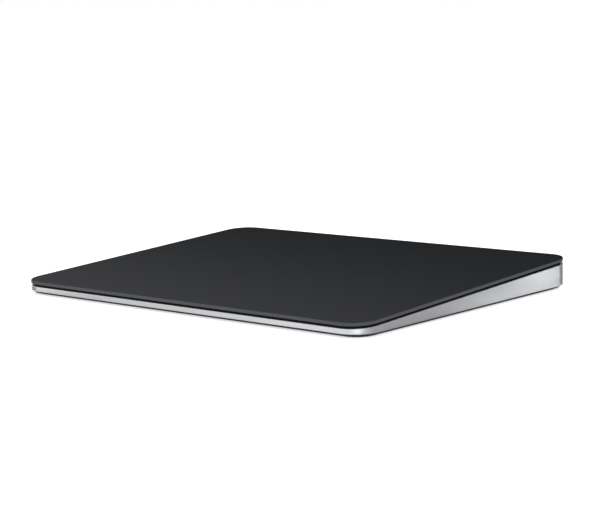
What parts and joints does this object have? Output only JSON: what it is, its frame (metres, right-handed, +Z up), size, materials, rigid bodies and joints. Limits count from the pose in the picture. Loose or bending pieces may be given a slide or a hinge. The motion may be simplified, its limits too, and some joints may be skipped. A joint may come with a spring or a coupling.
{
  "type": "trackpad",
  "caption": "Wedge-shaped wireless trackpad: black glass touch surface on force-sensing beams over an aluminium tray, with a rear charging socket and power switch.",
  "frame": {"origin": "on the desk, under the middle of the pad's outline", "axes": "+X to the user's right along the pad's width, +Y away from the user towards the high rear edge, +Z up"},
  "size_m": [0.16, 0.115, 0.0109],
  "materials": {
    "aluminium_tray": "bead-blasted and clear anodised",
    "touch_glass": "black, satin-etched top, ground edge",
    "bonding_film": "dark adhesive film",
    "base_plastic": "dark moulded plastic, fine texture",
    "frame_plastic": "black moulded plastic",
    "rubber": "matte",
    "circuit_board": "solder mask over glass fibre",
    "steel_sheet": "stamped, rolled finish",
    "spring_steel": "photo-etched, fine rolled finish",
    "core_steel": "stacked laminations",
    "copper": "enamelled copper wire",
    "screw_steel": "zinc plated",
    "socket_steel": "deep-drawn, satin",
    "gold_contact": "gold plated",
    "black_plastic": "moulded",
    "chip_plastic": "epoxy moulding",
    "flex_film": "polyimide film",
    "gel": "soft silicone gel",
    "pouch_foil": "laminated pouch foil",
    "switch_plastic": "moulded, fine texture",
    "marker_green": "painted",
    "cable_jacket": "smooth jacket"
  },
  "bodies": {
    "housing": {"antenna_cable": "cable_jacket", "antenna_carrier": "black_plastic", "antenna_trace": "copper", "base_film": "bonding_film", "base_plate": "base_plastic", "battery_cell": "pouch_foil", "battery_circuit": "circuit_board", "battery_lead": "flex_film", "battery_tape": "bonding_film", "beam_screws": "screw_steel", "enclosure": "aluminium_tray", "flex_connectors": "black_plastic", "foot_front_left": "rubber", "foot_front_right": "rubber", "foot_rear_left": "rubber", "foot_rear_right": "rubber", "force_beam_front_left": "spring_steel", "force_beam_front_right": "spring_steel", "force_beam_rear_left": "spring_steel", "force_beam_rear_right": "spring_steel", "gauge_flex_left": "flex_film", "gauge_flex_right": "flex_film", "haptic_bracket": "steel_sheet", "haptic_coils": "copper", "haptic_cores": "core_steel", "haptic_flex": "flex_film", "haptic_screws": "screw_steel", "io_board": "circuit_board", "io_chips": "chip_plastic", "io_screws": "screw_steel", "on_marker": "marker_green", "port_contacts": "gold_contact", "port_insulator": "black_plastic", "port_shell": "socket_steel", "radio_can": "steel_sheet", "sensor_flex": "flex_film", "stop_pads": "rubber", "strain_gauges": "flex_film", "switch_bezel": "black_plastic", "switch_body": "black_plastic", "trim_frame": "frame_plastic"},
    "press_carriage": {"beam_shoe_front_left": "spring_steel", "beam_shoe_front_right": "spring_steel", "beam_shoe_rear_left": "spring_steel", "beam_shoe_rear_right": "spring_steel"},
    "touch_plate": {"touch_glass": "touch_glass", "glass_film": "bonding_film", "sensor_board": "circuit_board", "backing_plate": "steel_sheet", "controller_chips": "chip_plastic", "chip_shield": "steel_sheet", "attraction_bar": "steel_sheet", "bar_screws": "screw_steel", "gel_pads": "gel"},
    "power_slider": {"switch_knob": "switch_plastic", "switch_lever": "black_plastic"}
  },
  "joints": [
    {"name": "press_travel", "type": "slide", "parent": "housing", "child": "press_carriage", "axis": [0, 0.0521, -0.9986], "range_m": [0, 0.00025], "stiffness_N_per_m": 20000, "springref_m": -0.0001, "deforming": ["force_beam_front_left", "force_beam_front_right", "force_beam_rear_left", "force_beam_rear_right", "strain_gauges", "sensor_flex"]},
    {"name": "haptic_shift", "type": "slide", "parent": "press_carriage", "child": "touch_plate", "axis": [0, 0.9986, 0.0521], "range_m": [-0.0002, 0.0002], "stiffness_N_per_m": 8000, "deforming": ["gel_pads", "sensor_flex"]},
    {"name": "power_slide", "type": "slide", "parent": "housing", "child": "power_slider", "axis": [1, 0, 0], "range_m": [-0.003, 0]}
  ]
}
